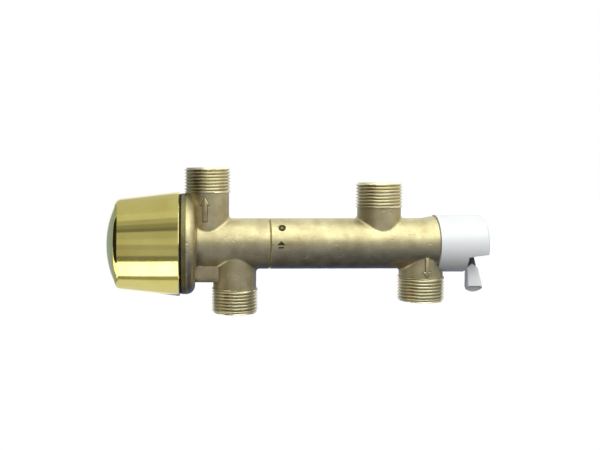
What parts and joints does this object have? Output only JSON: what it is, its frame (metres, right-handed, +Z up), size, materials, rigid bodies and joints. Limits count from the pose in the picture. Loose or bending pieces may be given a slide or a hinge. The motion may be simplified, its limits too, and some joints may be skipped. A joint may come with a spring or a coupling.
{
  "type": "hot water pressure regulator",
  "caption": "Cast brass hot water regulator: straight tube with threaded ports above and below, polished domed diaphragm cover at one end, white setting handle with a finger grip at the other.",
  "frame": {"origin": "centre of the cold inlet's end face, the lower port of the left casting", "axes": "+X along the main axis, from the diaphragm cover to the setting handle; +Z up, along the inlet's axis into the body; -Y towards the picture's viewer"},
  "size_m": [0.2164, 0.0598, 0.083],
  "materials": {
    "cast_brass": "shot-blasted casting",
    "polished_brass": "polished",
    "turned_brass": "machined",
    "black_rubber": "matte",
    "steel": "turned",
    "white_plastic": "satin gloss",
    "dark_plastic": "matte"
  },
  "bodies": {
    "housing": {"secondary_body": "cast_brass", "primary_body": "cast_brass", "lock_pin": "turned_brass", "diaphragm_cover": "polished_brass", "cover_gasket": "black_rubber", "diaphragm": "black_rubber", "clamp_ring": "turned_brass", "throttle_ring": "turned_brass", "guide_bush": "turned_brass", "gland_bush": "turned_brass", "stem_ring": "black_rubber", "joint_ring": "black_rubber", "valve_seat": "turned_brass", "bonnet": "turned_brass", "bonnet_ring": "black_rubber", "screw_ring": "black_rubber", "return_spring": "steel"},
    "spindle_group": {"spindle": "steel", "spindle_nut": "steel", "front_plate": "steel", "back_plate": "steel", "throttle_cone": "turned_brass", "throttle_clip": "steel", "valve_seal": "black_rubber", "valve_cone": "turned_brass", "cone_nut": "steel"},
    "handle_group": {"setting_screw": "turned_brass", "setting_handle": "white_plastic", "handle_screw": "steel", "handle_fork": "dark_plastic", "handle_grip": "white_plastic"},
    "cup_group": {"spring_cup": "turned_brass"}
  },
  "joints": [
    {"name": "spindle_slide", "type": "slide", "parent": "housing", "child": "spindle_group", "axis": [1, 0, 0], "range_m": [0, 0.004], "stiffness_N_per_m": 2400, "springref_m": -0.004, "deforming": ["diaphragm", "return_spring"]},
    {"name": "handle_turn", "type": "hinge", "parent": "housing", "child": "handle_group", "pos_m": [0.129, 0, 0.0395], "axis": [1, 0, 0], "range_deg": [-135, 135]},
    {"name": "cup_slide", "type": "slide", "parent": "housing", "child": "cup_group", "axis": [1, 0, 0], "range_m": [-0.0008, 0.0008], "deforming": ["return_spring"]}
  ],
  "couplings": [
    {"joint": "cup_slide", "follows": "handle_turn", "m_per_rad": -0.00031831}
  ]
}
